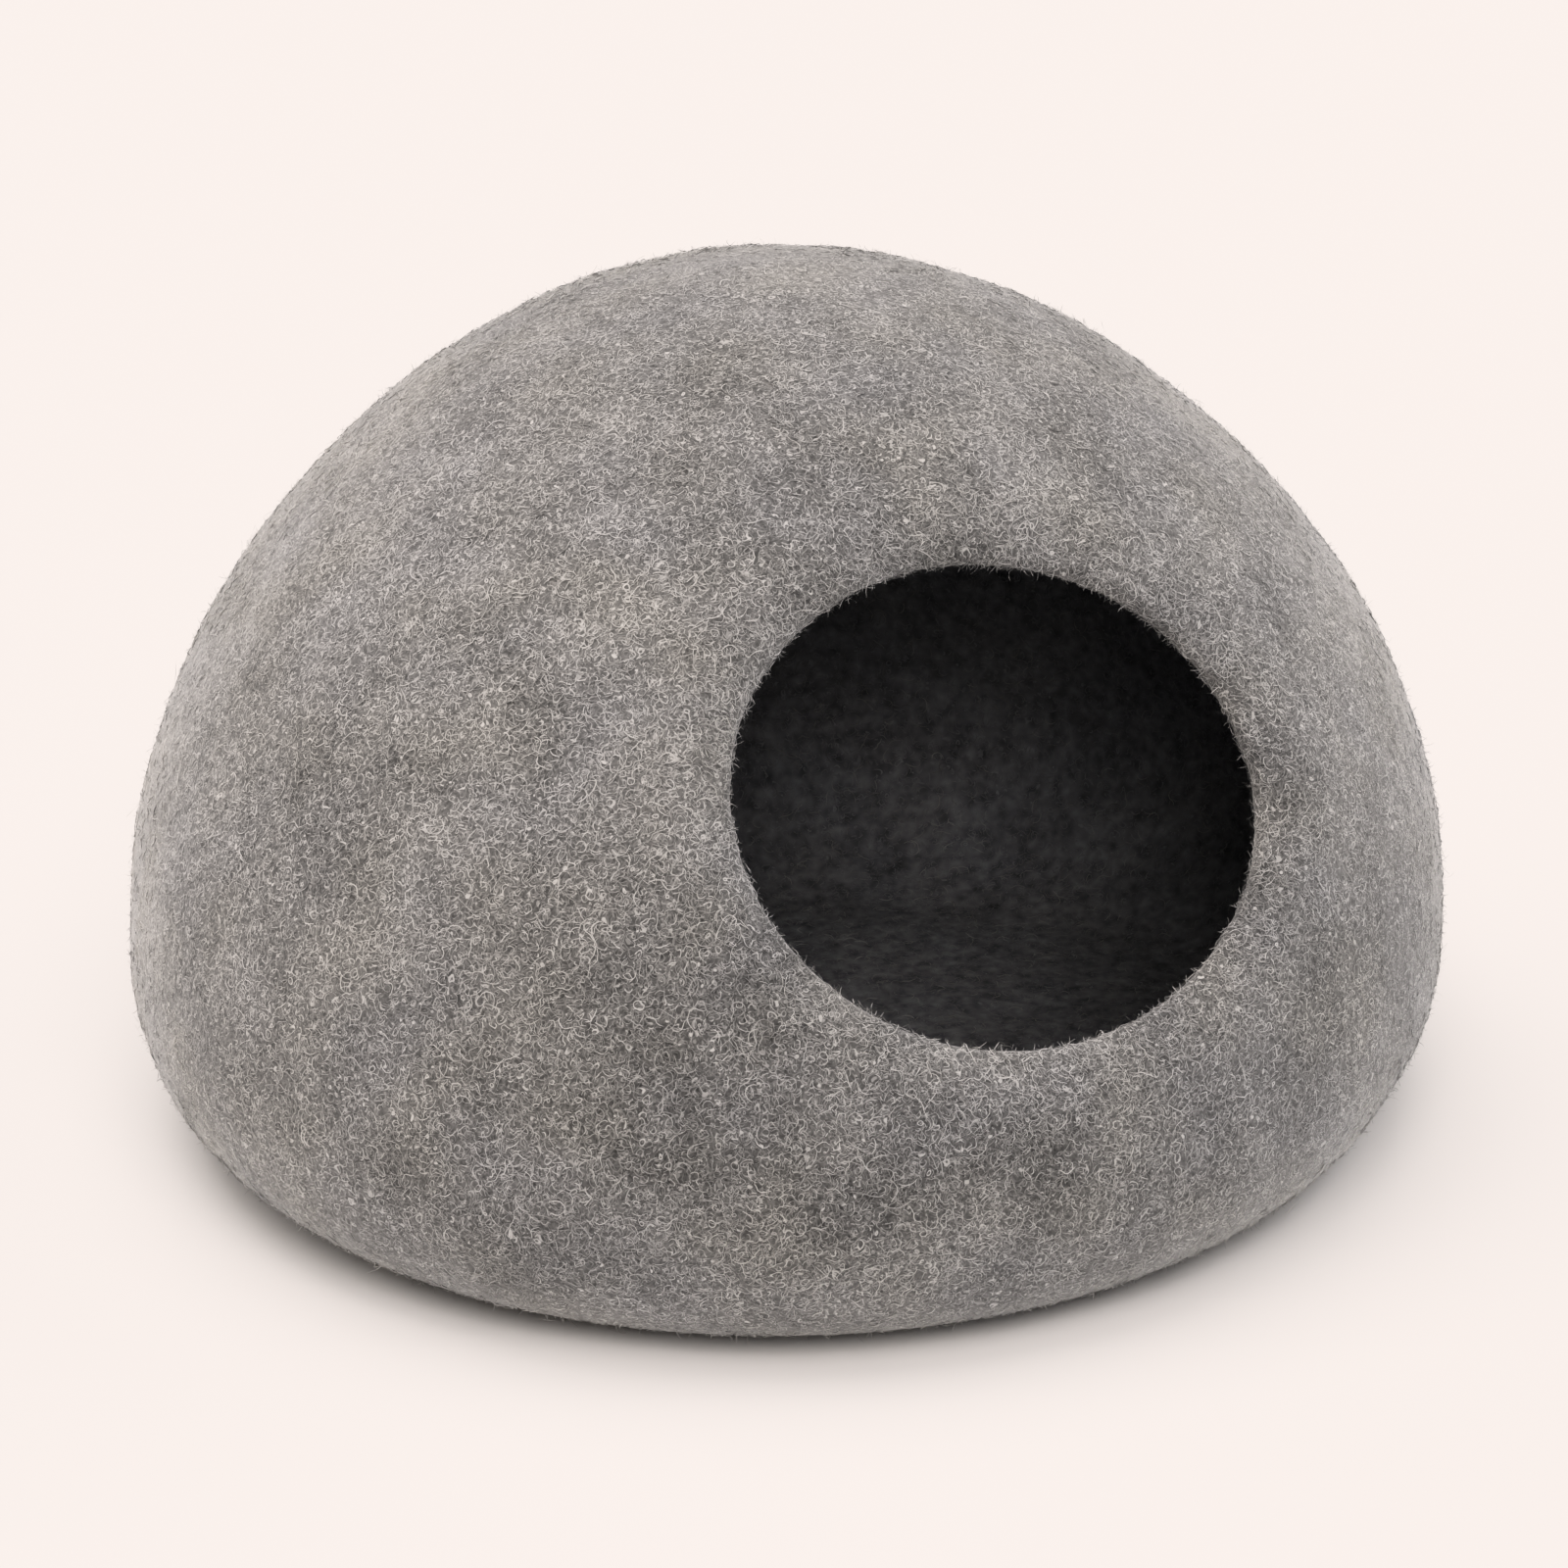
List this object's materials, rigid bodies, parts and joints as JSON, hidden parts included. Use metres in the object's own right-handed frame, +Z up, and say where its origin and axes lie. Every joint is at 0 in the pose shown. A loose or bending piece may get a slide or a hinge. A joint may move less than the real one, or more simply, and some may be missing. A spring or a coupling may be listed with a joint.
{
  "type": "felt cat cave",
  "caption": "Seamless domed cat cave of thick grey wool felt, with a flat foot and a round turned-in mouth that looks forwards and up.",
  "frame": {"origin": "middle of the shell's plan, on the surface it stands on", "axes": "+Z up, the mouth faces -Y, +X to the right as one looks into the mouth"},
  "size_m": [0.487, 0.458, 0.3068],
  "materials": {
    "grey_wool_felt": "matted wool felt, light and dark grey strands, no shine"
  },
  "bodies": {
    "root": {"felt_shell": "grey_wool_felt"}
  },
  "joints": []
}
